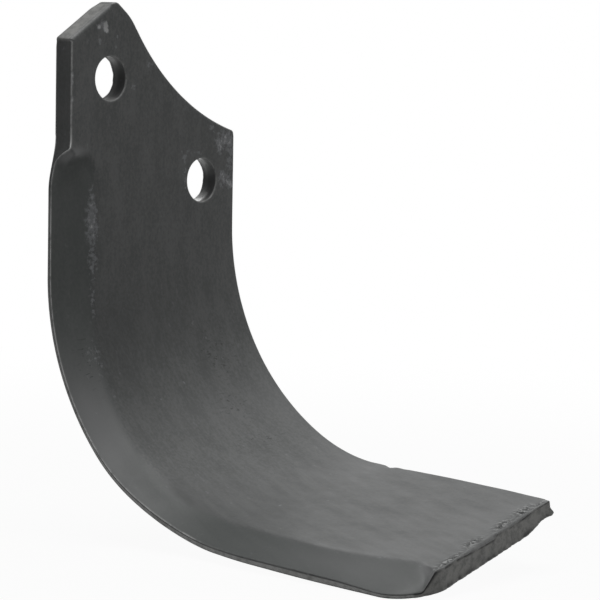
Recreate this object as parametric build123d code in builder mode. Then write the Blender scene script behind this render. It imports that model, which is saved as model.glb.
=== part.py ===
"""Rotary tiller blade: one flat steel bar, drawn thin along its cutting edge, punched for two bolts and bent.

X runs across the bar from the cutting edge to the inner edge, Y points out of the mounting face and Z runs up
the shank. The origin is on the mounting face, midway between the bolt holes. Places on the blank are its x and
z before it was bent, measured on the front face, which is the inside of the bend, so lengths stay true there.
A run is the distance on the front face past the start of the bend, square to the bend line.
"""

import os
from math import cos, pi, radians, sin, tan

from build123d import *

# Bar
bar_width = 80.0
bar_thickness = 7.0
bar_shift = 1.0  # from the origin to the bar's middle, towards the cutting edge
edge_rounding = 0.6

# Bolt holes
hole_diameter = 15.0
hole_spacing = 57.0
hole_line_angle = 37.3  # fall of the line through both holes, towards the inner edge
hole_roll_over = 0.6  # rounding that the punch leaves at the front rim

# Head of the shank
cutting_side_top = 30.4  # height of the shank's corner on the cutting side
top_slope = 31.0
peak_inset = 20.3  # from the bar's cutting side to the peak, before the peak is rounded
peak_radius = 2.0
crown_width = 7.7  # from the peak to the scallop, across the bar
crown_fall = 36.0
crown_radius = 20.0
scallop_radius = 92.0
inner_corner_drop = 1.3  # from the origin down to where the scallop meets the inner edge
inner_corner_radius = 1.5

# Bend
bend_line_angle = 10.0  # rise of the bend line towards the inner edge
bend_drop = 33.3  # from the origin down to the start of the bend on the inner edge
bend_inner_radius = 72.0
bend_angle = 90.0

# Wing
wing_length = 80.0  # along the inner edge, from the end of the bend to the tip
tip_slope = 20.0  # fall of the tip towards the cutting edge
tip_corner_radius = 13.0

# Cutting edge, which forging pushed out past the bar's side
edge_spread = 3.1
shoulder_drop = 1.5  # from the origin down to where the edge starts to spread
shoulder_length = 17.5
waist_depth = 2.8  # how far the edge draws in again near the end of the bend
waist_length = 76.0
waist_rise = 20.0  # from the end of the bend up to the middle of the waist

# Bevel on the front face, down to the flat land of the cutting edge
land_thickness = 1.5
shank_bevel_width = 14.0
wing_bevel_width = 10.5
tip_bevel_width = 18.0
bevel_narrowing = 45.0  # run over which the bevel narrows after the bend line
bevel_flaring = 42.0  # run over which the bevel widens before the tip
bevel_drop = 4.0  # from the origin down to the top of the bevel
bevel_end_radius = 12.0
bevel_end_slope = 40.0  # from the face's normal

# Construction: how far cutters stand clear of what they cut, and sections along the bend and the wing
clearance = 2.0
bend_steps = 9
wing_steps = 6

# Derived places
rise = sin(radians(bend_line_angle))
across = cos(radians(bend_line_angle))
inner_edge_reach = bar_width / 2 - bar_shift
cutting_side = -bar_width / 2 - bar_shift
edge_line = cutting_side - edge_spread
bend_run = bend_inner_radius * radians(bend_angle)
bend_end = -bend_drop - bend_run / across
tip_end = bend_end - wing_length
tip_outer = (edge_line, tip_end - (inner_edge_reach - edge_line) * tan(radians(tip_slope)))
waist_middle = bend_end - (inner_edge_reach - edge_line) * rise / across + waist_rise

bend_direction = Vector(across, 0, rise)
bend_centre = Vector(inner_edge_reach, -bar_thickness - bend_inner_radius, -bend_drop)
bend_axis = Axis(bend_centre, -bend_direction)


def station(run):
    """Plane across the bar at a run: x along the bend line from the inner edge's own, y out of the front."""
    turned = min(max(run, 0.0), bend_run) / bend_run * bend_angle
    outward = Vector(0, -1, 0).rotate(bend_axis, turned)
    onward = bend_direction.cross(outward)
    straight = min(run, 0.0) + max(run - bend_run, 0.0)
    origin = bend_centre - outward * bend_inner_radius + onward * straight
    return Plane(origin=origin, x_dir=bend_direction, z_dir=onward)


def blank_face(run):
    """Plane tangent to the front face at a run, with the blank's own x and z."""
    here = station(run)
    x_dir = here.x_dir * across + here.z_dir * rise
    z_up = here.x_dir * rise - here.z_dir * across
    origin = here.origin - here.z_dir * run - x_dir * inner_edge_reach + z_up * bend_drop
    return Plane(origin=origin, x_dir=x_dir, z_dir=here.y_dir)


def blank_point(along, run):
    """The blank's x and z at a place along the bend line of a station."""
    return (inner_edge_reach + along * across + run * rise, -bend_drop + along * rise - run * across)


def blank_run(x, z):
    """The run of a point of the blank."""
    return (x - inner_edge_reach) * rise - (z + bend_drop) * across


def place_along(x, run):
    """Place along the bend line of the point of a station that has this x on the blank."""
    return (x - inner_edge_reach - run * rise) / across


def edge_x(z):
    """The cutting edge's x on the blank, drawn in at the waist."""
    offset = min(abs(z - waist_middle) / (waist_length / 2), 1.0)
    return edge_line + waist_depth * cos(offset * pi / 2) ** 2


def edge_along(run):
    """Place along the bend line of the cutting edge at a station."""
    straight_edge = place_along(edge_line, run)
    return place_along(edge_x(blank_point(straight_edge, run)[1]), run)


def eased(fraction):
    """Smooth step from 0 to 1, held level past both ends."""
    held = min(max(fraction, 0.0), 1.0)
    return held * held * (3 - 2 * held)


def bevel_width(run):
    """Width of the bevel at a run."""
    flare_start = blank_run(*tip_outer) - bevel_flaring
    narrowed = (wing_bevel_width - shank_bevel_width) * eased(run / bevel_narrowing)
    flared = (tip_bevel_width - wing_bevel_width) * eased((run - flare_start) / bevel_flaring)
    return shank_bevel_width + narrowed + flared


def bevel_section(run):
    """Corners of what the bevel takes away at a station, from past the edge to in front of the face."""
    width = bevel_width(run)
    slope = (bar_thickness - land_thickness) / width
    line = edge_along(run) + width
    outside = edge_along(run) - clearance
    return [(line + clearance / slope, clearance), (outside, clearance), (outside, -slope * (line - outside))]


# Shank: the flat outline of the head, down to the bend line, with the punched holes
shank_face = blank_face(0.0)
bend_start = (inner_edge_reach, -bend_drop)
shank_foot = blank_point(edge_along(0.0), 0.0)
side_top = (cutting_side, cutting_side_top)
peak = (cutting_side + peak_inset, cutting_side_top + peak_inset * tan(radians(top_slope)))
crown_end = (peak[0] + crown_width, peak[1] - crown_width * tan(radians(crown_fall)))
inner_corner = (inner_edge_reach, -inner_corner_drop)
shoulder_top = (cutting_side, -shoulder_drop)
shoulder_foot = (edge_line, -shoulder_drop - shoulder_length)
hole_x = hole_spacing / 2 * cos(radians(hole_line_angle))
hole_z = hole_spacing / 2 * sin(radians(hole_line_angle))

with BuildPart() as shank:
    with BuildSketch(shank_face):
        with BuildLine():
            Line(bend_start, inner_corner)
            RadiusArc(inner_corner, crown_end, scallop_radius)
            Polyline(crown_end, peak, side_top, shoulder_top)
            Spline(shoulder_top, shoulder_foot, tangents=[(0, -1), (0, -1)])
            Polyline(shoulder_foot, shank_foot, bend_start)
        make_face()
    extrude(amount=-bar_thickness)
    for corner, radius in (
        (peak, peak_radius),
        (crown_end, crown_radius),
        (inner_corner, inner_corner_radius),
    ):
        standing = shank.edges().filter_by(Axis.Y)
        fillet(standing.sort_by_distance(shank_face.from_local_coords((*corner, 0)))[0], radius)
    with Locations(shank_face):
        with Locations((-hole_x, hole_z), (hole_x, -hole_z)):
            Hole(hole_diameter / 2)
    rims = shank.edges().filter_by(GeomType.CIRCLE).filter_by(lambda edge: edge.is_closed)
    fillet(rims.group_by(Axis.Y)[0], hole_roll_over)

# Bend: a ring sector, trimmed along both long sides to the blank's edges
with BuildPart() as bend:
    for step in range(bend_steps + 1):
        run = bend_run * step / bend_steps
        inner = place_along(inner_edge_reach, run)
        outer = edge_along(run)
        with BuildSketch(station(run)):
            with Locations((inner, clearance)):
                Rectangle(inner - outer, bar_thickness + 2 * clearance, align=Align.MAX)
    loft()
    with BuildSketch(station(0.0)):
        with Locations((clearance, 0)):
            Rectangle(2 * clearance - edge_along(bend_run), bar_thickness, align=Align.MAX)
    revolve(axis=bend_axis, revolution_arc=bend_angle, mode=Mode.INTERSECT)

# Wing: the flat outline from the end of the bend to the sheared tip
wing_face = blank_face(bend_run)
wing_inner = (inner_edge_reach, bend_end)
wing_outer = blank_point(edge_along(bend_run), bend_run)
waist_heights = [wing_outer[1] - waist_length / 2 * step / wing_steps for step in range(wing_steps + 1)]
waist_edge = [wing_outer] + [(edge_x(height), height) for height in waist_heights[1:]]

with BuildPart() as wing:
    with BuildSketch(wing_face):
        with BuildLine():
            Spline(*waist_edge)
            Polyline(waist_edge[-1], tip_outer, (inner_edge_reach, tip_end), wing_inner, wing_outer)
        make_face()
    extrude(amount=-bar_thickness)
    standing = wing.edges().filter_by(Axis(wing_face.origin, wing_face.z_dir))
    fillet(standing.sort_by_distance(wing_face.from_local_coords((*tip_outer, 0)))[0], tip_corner_radius)

# Bevel on the shank, with its rounded and sloping upper end
bevel_line = edge_line + shank_bevel_width
bevel_end = -bevel_drop - bevel_end_radius
bevel_corner = (bevel_line - bevel_end_radius, -bevel_drop)
outside_low = (edge_line - bar_width, -bend_drop - bar_width)

with BuildPart() as shank_bevel:
    with BuildSketch(station(0.0)):
        with BuildLine():
            Polyline(*bevel_section(0.0), close=True)
        make_face()
    extrude(amount=bar_width, dir=(0, 0, 1))
    with BuildSketch(shank_face.offset(clearance)):
        with BuildLine():
            RadiusArc((bevel_line, bevel_end), bevel_corner, -bevel_end_radius)
            Polyline(
                bevel_corner,
                (outside_low[0], -bevel_drop),
                outside_low,
                (bevel_line, outside_low[1]),
                (bevel_line, bevel_end),
            )
        make_face()
        offset(amount=clearance * tan(radians(bevel_end_slope)), kind=Kind.INTERSECTION)
    extrude(amount=-bar_thickness - clearance, taper=bevel_end_slope, mode=Mode.INTERSECT)

# Bevel along the bend and the wing, past the tip
with BuildPart() as long_bevel:
    wing_run = blank_run(*tip_outer) + clearance - bend_run
    runs = [bend_run * step / bend_steps for step in range(bend_steps)]
    runs += [bend_run + wing_run * step / wing_steps for step in range(wing_steps + 1)]
    for run in runs:
        with BuildSketch(station(run)):
            with BuildLine():
                Polyline(*bevel_section(run), close=True)
            make_face()
    loft()

# Blade: the bar in one piece, bevelled, with its long edges rounded
with BuildPart() as blade:
    add(shank.part)
    add(bend.part)
    add(wing.part)
    add(shank_bevel.part, mode=Mode.SUBTRACT)
    add(long_bevel.part, mode=Mode.SUBTRACT)
    upright = blade.faces().filter_by(Plane.YZ)
    inner_side = upright.sort_by(Axis.X)[-1]
    head_side = upright.sort_by(Axis.Z)[-1]
    fillet([*inner_side.edges().filter_by(Axis.Z), *head_side.edges().filter_by(Axis.Z)], edge_rounding)

os.makedirs("parts", exist_ok=True)
blade.part.label = "tiller_blade"
export_step(blade.part, "parts/tiller_blade.step")
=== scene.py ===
"""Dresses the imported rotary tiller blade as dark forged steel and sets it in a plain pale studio.

The blade is laid out as a flat blank in mesh code, in millimetres, and a Geometry Nodes tree gives it the relief
of forged steel and bends it. A place on the blank is its x across the bar and its z along it before bending, and
its depth is measured from the front face, which is the inside of the bend.
"""

import logging
import math
from dataclasses import dataclass, field
from enum import Enum
from typing import Any

import bpy
import numpy as np
from mathutils import Matrix, Vector, kdtree, noise
from mathutils.geometry import delaunay_2d_cdt


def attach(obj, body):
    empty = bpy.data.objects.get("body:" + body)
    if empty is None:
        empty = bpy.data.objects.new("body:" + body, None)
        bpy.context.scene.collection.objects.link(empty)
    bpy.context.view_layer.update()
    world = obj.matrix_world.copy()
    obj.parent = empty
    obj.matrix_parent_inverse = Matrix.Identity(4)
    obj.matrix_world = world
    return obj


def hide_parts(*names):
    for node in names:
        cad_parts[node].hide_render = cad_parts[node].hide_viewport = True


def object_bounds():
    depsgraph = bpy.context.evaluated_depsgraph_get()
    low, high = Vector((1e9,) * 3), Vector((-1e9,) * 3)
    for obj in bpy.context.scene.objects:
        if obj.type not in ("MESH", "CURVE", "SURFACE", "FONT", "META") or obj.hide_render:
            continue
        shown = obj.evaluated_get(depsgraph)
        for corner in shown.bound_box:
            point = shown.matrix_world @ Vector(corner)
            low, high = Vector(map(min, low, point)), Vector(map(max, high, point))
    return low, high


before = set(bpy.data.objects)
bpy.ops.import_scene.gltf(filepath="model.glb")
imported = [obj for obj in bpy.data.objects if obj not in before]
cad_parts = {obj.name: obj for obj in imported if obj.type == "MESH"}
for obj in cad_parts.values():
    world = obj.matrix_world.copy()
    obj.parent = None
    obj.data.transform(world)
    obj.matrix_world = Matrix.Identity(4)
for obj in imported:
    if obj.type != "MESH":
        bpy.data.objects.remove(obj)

LOG = logging.getLogger("tiller_blade")
MM = 0.001
BLANK_PLACE = "blank"
INSIDE_RIMS = 1
MERGE_DISTANCE = 1e-6
FEWEST_ARC_STEPS = 4
FLOOR_GAP = 0.0002
FORGE_SEED = 7.0
CRUST_WAVES = (0.7, 0.7, 0.7)
WHITE = (1.0, 1.0, 1.0, 1.0)

Point = tuple[float, float]
Triple = tuple[float, float, float]
Colour = tuple[float, float, float, float]
Span = tuple[float, ...]


class Stretch(Enum):
    """Stretches of the blank's outline, each with edges of its own kind."""

    INNER = 0
    HEAD = 1
    SLOPE = 2
    SIDE = 3
    CUTTING = 4
    TIP = 5
    HOLE = 6


class Mask(Enum):
    """Named float attributes of the blade's mesh that its relief and its finish read."""

    FACET = "facet"
    # The rubbed bright edges, and the painted highlights on walls.
    RIM = "rim"
    WEAR = "wear"
    PITTING = "pitting"
    # Torn metal, and painted light where the land and the top and bottom of a hole's wall are lightened with the
    # torn colour.
    SHEAR = "shear"
    CRUST = "crust"
    # Painted light: the skin painted lighter on the bevel's facet, at the bevel's end and in spots where more light
    # falls.
    BURNISH = "burnish"
    # Painted shade: walls, hole sides, the line under the front edge and spots on the bend are darkened where shade
    # falls; the tip's end face also darkens towards its foot.
    SOOT = "soot"


Table = dict[Stretch, float]


def table(**values: float) -> Any:
    """Returns a dataclass field that holds one value for each named stretch."""
    return field(default_factory=lambda: {Stretch[name]: value for name, value in values.items()})


def smooth_step(value: np.ndarray) -> np.ndarray:
    """Returns a smooth step from 0 to 1, held level past both ends."""
    held = np.clip(value, 0.0, 1.0)
    return held * held * (3.0 - 2.0 * held)


def soft_min(a: np.ndarray, b: np.ndarray, reach: float | np.ndarray) -> np.ndarray:
    """Returns the smaller of two fields, blended where they differ by less than reach."""
    near = np.maximum(reach - np.abs(a - b), 0.0)
    return np.minimum(a, b) - near * near / (4.0 * reach)


def rounding(inset: float, radius: np.ndarray) -> np.ndarray:
    """Returns how far a rounded edge falls away at an inset from the outline."""
    short = np.clip(radius - inset, 0.0, radius)
    return radius - np.sqrt(np.maximum(radius * radius - short * short, 0.0))


def line_through(knots: tuple[Point, ...], at: np.ndarray) -> np.ndarray:
    """Returns the height of the line through some knots at each place along it."""
    return np.interp(at, *np.array(sorted(knots)).T)


def lattice(low: Point, high: Point, pitch: float) -> np.ndarray:
    """Lays a staggered lattice of points in a box.

    Args:
        low: The box's lower corner.
        high: Its upper corner.
        pitch: Distance between points.

    Returns:
        The points, one to a row.
    """
    rows = np.arange(low[1], high[1], pitch * math.sqrt(3.0) / 2.0)
    x, z = np.meshgrid(np.arange(low[0], high[0], pitch), rows)
    x = x + (np.arange(len(rows)) % 2)[:, None] * pitch / 2.0
    return np.stack([x.ravel(), z.ravel()], 1)


def straight(start: Point, end: Point, step: float) -> np.ndarray:
    """Lays points along a line.

    Args:
        start: First point, which is included.
        end: Last point, which is left out.
        step: Largest distance between points.

    Returns:
        The points, one to a row.
    """
    count = max(1, math.ceil(math.dist(start, end) / step))
    share = np.arange(count)[:, None] / count
    return np.array(start) * (1.0 - share) + np.array(end) * share


def rounded(corner: Point, heading_in: Point, heading_out: Point, radius: float, step: float) -> np.ndarray:
    """Lays points along the arc that rounds a corner turned to the left.

    Args:
        corner: The corner before rounding.
        heading_in: Unit direction of travel up to the corner.
        heading_out: Unit direction of travel after it.
        radius: Radius of the arc.
        step: Largest distance between points.

    Returns:
        The points, from the arc's start to its end, both included.
    """
    into, out = np.array(heading_in), np.array(heading_out)
    turn = math.acos(max(-1.0, min(1.0, float(into @ out))))
    start = np.array(corner) - into * radius * math.tan(turn / 2.0)
    centre = start + radius * np.array((-into[1], into[0]))
    count = max(FEWEST_ARC_STEPS, math.ceil(radius * turn / step))
    angles = np.linspace(0.0, turn, count + 1)
    cosine, sine = np.cos(angles), np.sin(angles)
    x, z = start - centre
    return centre + np.stack([x * cosine - z * sine, x * sine + z * cosine], 1)


@dataclass(frozen=True)
class Fade:
    """A smooth rise from a base along some measure, which runs backwards where its length is negative."""

    start: float
    length: float
    rise: float = 1.0
    base: float = 0.0

    def at(self, value: np.ndarray) -> np.ndarray:
        """Returns the height at each value."""
        return self.base + self.rise * smooth_step((value - self.start) / self.length)


@dataclass(frozen=True)
class Hump:
    """A smooth hump along some measure."""

    middle: float
    width: float
    height: float = 1.0

    def at(self, value: float | np.ndarray) -> np.ndarray:
        """Returns the height at each value."""
        return self.height * np.exp(-(((value - self.middle) / self.width) ** 2))


@dataclass(frozen=True)
class Grit:
    """Fractal noise over the blank: its waves to the millimetre, the layer that is read and its octaves."""

    waves: float
    layer: float
    octaves: int

    def at(self, places: np.ndarray, shift: float = 0.0) -> np.ndarray:
        """Returns the noise at each place, about 0 on average, from a layer that may be shifted."""
        points = (Vector((x * self.waves, z * self.waves, self.layer + shift)) for x, z in places)
        return np.array([noise.fractal(point, 1.0, 2.0, self.octaves) for point in points])


@dataclass(frozen=True)
class Spot:
    """A round or long mark on the blank.

    Attributes:
        x: Place across the bar.
        z: Place along the bar.
        across: Half width.
        along: Half length.
        strength: Depth or weight at its middle.
    """

    x: float
    z: float
    across: float
    along: float
    strength: float

    def field_at(self, x: np.ndarray, z: np.ndarray) -> np.ndarray:
        """Returns the mark's weight at each place."""
        return self.strength * np.exp(-(((x - self.x) / self.across) ** 2 + ((z - self.z) / self.along) ** 2))


def spots(*rows: tuple[float, ...]) -> tuple[Spot, ...]:
    """Returns a mark for each row of place across and along, half width, half length and strength."""
    return tuple(Spot(*row) for row in rows)


def marks(group: tuple[Spot, ...], x: np.ndarray, z: np.ndarray) -> np.ndarray:
    """Returns the sum of some marks at each place."""
    return sum((spot.field_at(x, z) for spot in group), np.zeros_like(x))


@dataclass(frozen=True)
class BladeSizes:
    """Sizes of the blade in millimetres and degrees: the CAD model's, with its outline eased by a fraction."""

    bar_width: float = 80.0
    thickness: float = 7.0
    bar_shift: float = 1.0
    hole_diameter: float = 15.0
    hole_spacing: float = 57.0
    hole_line_angle: float = 37.3
    cutting_side_top: float = 30.25
    side_top_radius: float = 0.5
    top_slope: float = 31.0
    top_lean: float = 0.5
    peak_inset: float = 20.9
    peak_radius: float = 3.0
    crown_width: float = 7.9
    crown_fall: float = 37.0
    crown_radius: float = 20.0
    scallop_radius: float = 87.1
    inner_corner_drop: float = 0.9
    inner_corner_radius: float = 1.5
    bend_line_angle: float = 10.0
    bend_drop: float = 33.3
    bend_radius: float = 72.0
    bend_angle: float = 90.0
    wing_length: float = 80.0
    tip_slope: float = 20.0
    tip_corner_radius: float = 13.0
    edge_spread: float = 3.1
    shoulder_drop: float = 1.5
    shoulder_length: float = 17.5
    waist_depth: float = 2.4
    waist_length: float = 76.0
    waist_rise: float = 20.0
    side_fullness: float = 0.35
    bevel_drop: float = 5.2
    bevel_lag: float = 2.6
    bevel_end_radius: float = 5.0
    bevel_end_slope: float = 30.0
    bevel_tip_slope: float = 41.0

    @property
    def inner_x(self) -> float:
        """The inner edge's x."""
        return self.bar_width / 2.0 - self.bar_shift

    @property
    def side_x(self) -> float:
        """The x of the bar's own cutting side."""
        return -self.bar_width / 2.0 - self.bar_shift

    @property
    def edge_x(self) -> float:
        """The x of the forged cutting edge where it runs straight."""
        return self.side_x - self.edge_spread

    @property
    def bend_end(self) -> float:
        """The inner edge's z at the end of the bend."""
        run = self.bend_radius * math.radians(self.bend_angle)
        return -self.bend_drop - run / math.cos(math.radians(self.bend_line_angle))

    @property
    def tip_inner(self) -> Point:
        """The tip's corner on the inner edge."""
        return (self.inner_x, self.bend_end - self.wing_length)

    @property
    def tip_outer(self) -> Point:
        """The tip's corner on the cutting edge, before it is rounded."""
        fall = (self.inner_x - self.edge_x) * math.tan(math.radians(self.tip_slope))
        return (self.edge_x, self.tip_inner[1] - fall)

    @property
    def waist_middle(self) -> float:
        """The z of the middle of the cutting edge's waist."""
        lean = (self.inner_x - self.edge_x) * math.tan(math.radians(self.bend_line_angle))
        return self.bend_end - lean + self.waist_rise

    def cutting_x(self, z: np.ndarray) -> np.ndarray:
        """Works out where the cutting edge runs, with its shoulder and waist.

        Args:
            z: Places along the bar.

        Returns:
            The edge's x at each z.
        """
        shoulder = smooth_step((-self.shoulder_drop - z) / self.shoulder_length)
        away = np.clip(np.abs(z - self.waist_middle) / (self.waist_length / 2.0), 0.0, 1.0)
        waist = self.waist_depth * np.cos(away * math.pi / 2.0) ** 2
        return self.side_x - self.edge_spread * shoulder + waist

    def land_x(self, z: np.ndarray) -> np.ndarray:
        """Works out where the outer edge runs, with the tip's rounded corner too.

        Args:
            z: Places along the bar.

        Returns:
            The edge's x at each z.
        """
        radius = self.tip_corner_radius
        start = self.tip_outer[1] + radius * math.tan(math.radians(90.0 + self.tip_slope) / 2.0)
        past = np.clip(start - z, 0.0, radius)
        return self.cutting_x(z) + radius - np.sqrt(radius * radius - past * past)

    def from_tip(self, x: np.ndarray, z: np.ndarray) -> np.ndarray:
        """Measures how far places lie from the tip's line.

        Args:
            x: Places across the bar.
            z: Places along the bar.

        Returns:
            The distances, above 0 towards the shank.
        """
        slope = math.radians(self.tip_slope)
        line = self.tip_inner[1] - (self.inner_x - x) * math.tan(slope)
        return (z - line) * math.cos(slope)


@dataclass
class Loop:
    """One closed outline of the blank, with the metal on the left of its direction of travel.

    Attributes:
        places: The outline's x and z on the front face.
        kinds: The Stretch value of each point.
        flare: How far the metal draws back at the back face.
        inward: The mitred direction into the metal at each point.
        mitre_limit: Smallest cosine that a corner's mitre is worked out with.
        fold_share: Share of a step's length below which a band counts as folded.
        easing_rounds: How often a folded band is eased at most.
    """

    places: np.ndarray
    kinds: np.ndarray
    flare: np.ndarray
    inward: np.ndarray = field(init=False)
    mitre_limit: float = 0.6
    fold_share: float = 0.2
    easing_rounds: int = 600

    def __post_init__(self) -> None:
        """Works out the direction into the metal at each point."""
        ahead = np.roll(self.places, -1, 0) - self.places
        ahead /= np.linalg.norm(ahead, axis=1, keepdims=True)
        left = np.stack([-ahead[:, 1], ahead[:, 0]], 1)
        mean = left + np.roll(left, 1, 0)
        mean /= np.linalg.norm(mean, axis=1, keepdims=True)
        self.inward = mean / np.clip((mean * left).sum(1), self.mitre_limit, 1.0)[:, None]

    def inset(self, distance: np.ndarray) -> np.ndarray:
        """Returns the outline moved into the metal."""
        return self.places + self.inward * distance[:, None]

    def band(self, start: np.ndarray, depth: float) -> np.ndarray:
        """Lays the far rim of a band of insets, eased apart where a sharp corner would fold it.

        Args:
            start: The outline's points where the band begins.
            depth: Width of the band.

        Returns:
            One point on the far rim for each point of the outline.
        """
        rim = start + self.inward * depth
        step = np.roll(start, -1, 0) - start
        length = (step * step).sum(1)
        for _ in range(self.easing_rounds):
            folded = ((np.roll(rim, -1, 0) - rim) * step).sum(1) < self.fold_share * length
            if not folded.any():
                break
            loose = folded | np.roll(folded, 1) | np.roll(folded, -1) | np.roll(folded, 2)
            rim[loose] = (np.roll(rim, 1, 0) + np.roll(rim, -1, 0))[loose] / 2.0
        return rim

    def of_kind(self, values: Table, other: float = 0.0) -> np.ndarray:
        """Returns one value for each point by its stretch, or other where none is given."""
        return np.array([values.get(stretch, other) for stretch in Stretch])[self.kinds]

    def on(self, stretch: Stretch) -> np.ndarray:
        """Returns 1 for the points on a stretch and 0 for the others."""
        return self.of_kind({stretch: 1.0})


@dataclass
class Skin:
    """The blank's points and faces as they are laid down.

    Attributes:
        rows: The places, depths, and rim, shear, painted shade and wall values of each row of points.
        faces: The faces, as lists of point numbers.
        count: How many points there are.
    """

    rows: list[tuple[np.ndarray, ...]] = field(default_factory=list)
    faces: list[list[int]] = field(default_factory=list)
    count: int = 0

    def add(self, places: np.ndarray, depth: np.ndarray, rim: Any = 0.0, shear: Any = 0.0, soot: Any = 0.0,
            wall: float = 0.0) -> np.ndarray:
        """Adds a row of points.

        Args:
            places: Their x and z.
            depth: Their depth below the front face.
            rim: How far they are rubbed bright, painted highlights included.
            shear: How far they are torn.
            soot: How far they carry painted shade.
            wall: 1 on the wall between the faces, and 0 on the faces.

        Returns:
            The points' numbers.
        """
        first, self.count = self.count, self.count + len(places)
        values = (np.broadcast_to(value, len(places)) for value in (depth, rim, shear, soot, wall))
        self.rows.append((places, *values))
        return np.arange(first, self.count)

    def columns(self) -> list[np.ndarray]:
        """Returns the places, depths, rim, shear, painted shade and wall values of all points."""
        return [np.concatenate(column) for column in zip(*self.rows)]

    def join(self, rows: list[np.ndarray]) -> None:
        """Joins rows of points around a loop with quads that face to the right of travel."""
        for one, two in zip(rows, rows[1:]):
            self.faces.extend(np.stack([one, two, np.roll(two, -1), np.roll(one, -1)], 1).tolist())


@dataclass
class EdgeDress:
    """The edges and the wall of one loop, point by point.

    Attributes:
        front_radius: Radius of the front edge.
        back_radius: Radius of the back edge.
        rim: How far the front edge is rubbed bright.
        rim_reach: How far in from the edge that shows.
        sheared: How far the wall is torn, more on the top and bottom of a hole's wall, where the lighter torn colour
            is partly painted light.
        lit_land: How far the land below its front part is painted lighter with the torn colour, as painted light
            from below.
        painted_highlight: Painted highlight on the land and on the top and bottom of a hole's wall.
        painted_shading: How far the wall carries painted shade.
        foot_darkening: How much darker its foot is.
        undercut_shadow: How dark the painted shadow line below the front edge is.
        groove: How deep that line is cut.
        line_at: The share of the wall's height at which the line runs.
        line_width: The share of the height that it takes up.
        flare_from: The share of the height from which the wall draws back.
    """

    front_radius: np.ndarray
    back_radius: np.ndarray
    rim: np.ndarray
    rim_reach: np.ndarray
    sheared: np.ndarray
    lit_land: np.ndarray
    painted_highlight: np.ndarray
    painted_shading: np.ndarray
    foot_darkening: np.ndarray
    undercut_shadow: np.ndarray
    groove: np.ndarray
    line_at: np.ndarray
    line_width: np.ndarray
    flare_from: np.ndarray

    def line(self, share: float) -> np.ndarray:
        """Returns the weight of the line below the front edge at a share of the wall's height."""
        return np.exp(-(((share - self.line_at) / self.line_width) ** 2))

    def drawn(self, share: float) -> np.ndarray:
        """Returns how much of its flare the wall has taken at a share of its height."""
        return smooth_step((share - self.flare_from) / (1.0 - self.flare_from))


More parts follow.
